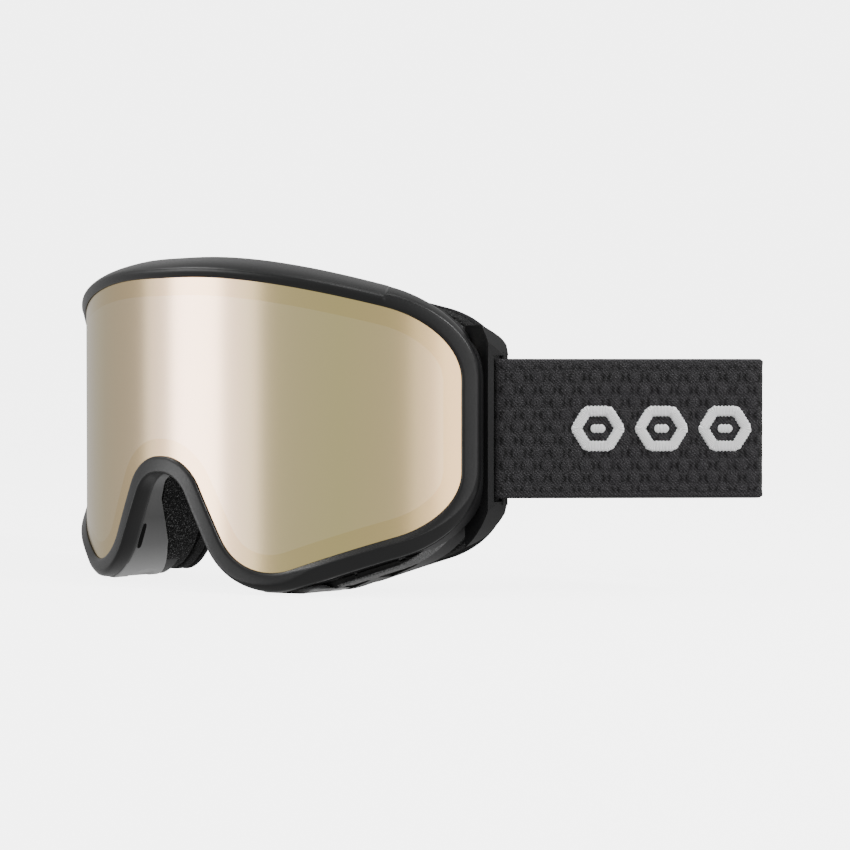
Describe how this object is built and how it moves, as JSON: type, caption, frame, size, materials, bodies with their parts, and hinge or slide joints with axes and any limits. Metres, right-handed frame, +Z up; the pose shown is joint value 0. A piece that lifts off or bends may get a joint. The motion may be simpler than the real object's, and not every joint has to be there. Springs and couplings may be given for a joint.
{
  "type": "ski goggles",
  "caption": "Wide cylindrical-lens ski goggles with a gold mirror lens, black rim, foam face pad and an adjustable woven elastic strap.",
  "frame": {"origin": "middle of the bounding box, on the surface that the goggles stand on", "axes": "+Z up, the lens faces -Y, +X towards the wearer's left"},
  "size_m": [0.284, 0.1122, 0.0982],
  "materials": {
    "lens_mirror": "gold mirror coating on polycarbonate",
    "lens_clear": "clear anti-fog inner lens",
    "spacer_foam": "closed foam gasket",
    "rim_black": "satin black",
    "frame_black": "matte black flexible plastic",
    "satin_grey": "satin grey",
    "foam_black": "open-cell foam",
    "fleece_black": "brushed fleece",
    "vent_foam": "reticulated foam",
    "mesh_grey": "woven mesh",
    "webbing": "charcoal elastic webbing, raised weave",
    "thread": "bar-tack stitching",
    "motif_white": "white raised weave",
    "silicone": "silicone grip line",
    "slider_black": "moulded plastic"
  },
  "bodies": {
    "goggle": {"outer_lens": "lens_mirror", "lens_spacer": "spacer_foam", "inner_lens": "lens_clear", "front_rim": "rim_black", "face_frame": "frame_black", "nose_bridge": "satin_grey", "face_foam_base": "foam_black", "face_foam_core": "foam_black", "face_fleece": "fleece_black", "vent_foam_top": "vent_foam", "vent_foam_bottom_left": "vent_foam", "vent_foam_bottom_right": "vent_foam", "vent_mesh_left": "mesh_grey", "vent_mesh_right": "mesh_grey"},
    "left_strap": {"strap_run_left": "webbing", "strap_tack_left": "thread", "strap_motif_left": "motif_white"},
    "back_strap": {"strap_back_run": "webbing", "strap_grips": "silicone"},
    "right_strap": {"strap_run_right": "webbing", "strap_tack_right": "thread", "strap_motif_right": "motif_white"},
    "left_slider": {"slider_left": "slider_black", "tail_loop_left": "webbing", "strap_tail_left": "webbing"},
    "right_slider": {"slider_right": "slider_black", "tail_loop_right": "webbing", "strap_tail_right": "webbing"}
  },
  "joints": [
    {"name": "strap_sway", "type": "hinge", "parent": "goggle", "child": "left_strap", "pos_m": [0.08784, -0.00075, 0.0477], "axis": [0, 0, 1], "range_deg": [-7, 7]},
    {"name": "left_fold", "type": "hinge", "parent": "left_strap", "child": "back_strap", "pos_m": [0.14334, 0.05269, 0.0477], "axis": [0, 0, 1], "range_deg": [-5, 5]},
    {"name": "right_fold", "type": "hinge", "parent": "back_strap", "child": "right_strap", "pos_m": [-0.14334, 0.05269, 0.0477], "axis": [0, 0, 1], "range_deg": [-5, 5]},
    {"name": "left_adjust", "type": "slide", "parent": "back_strap", "child": "left_slider", "axis": [1, 0, 0], "range_m": [-0.008, 0.014], "deforming": ["strap_tail_left"]},
    {"name": "right_adjust", "type": "slide", "parent": "back_strap", "child": "right_slider", "axis": [-1, 0, 0], "range_m": [-0.008, 0.014], "deforming": ["strap_tail_right"]}
  ],
  "couplings": [
    {"joint": "left_fold", "follows": "strap_sway", "ratio": -0.612},
    {"joint": "right_fold", "follows": "strap_sway", "ratio": 0.612}
  ]
}
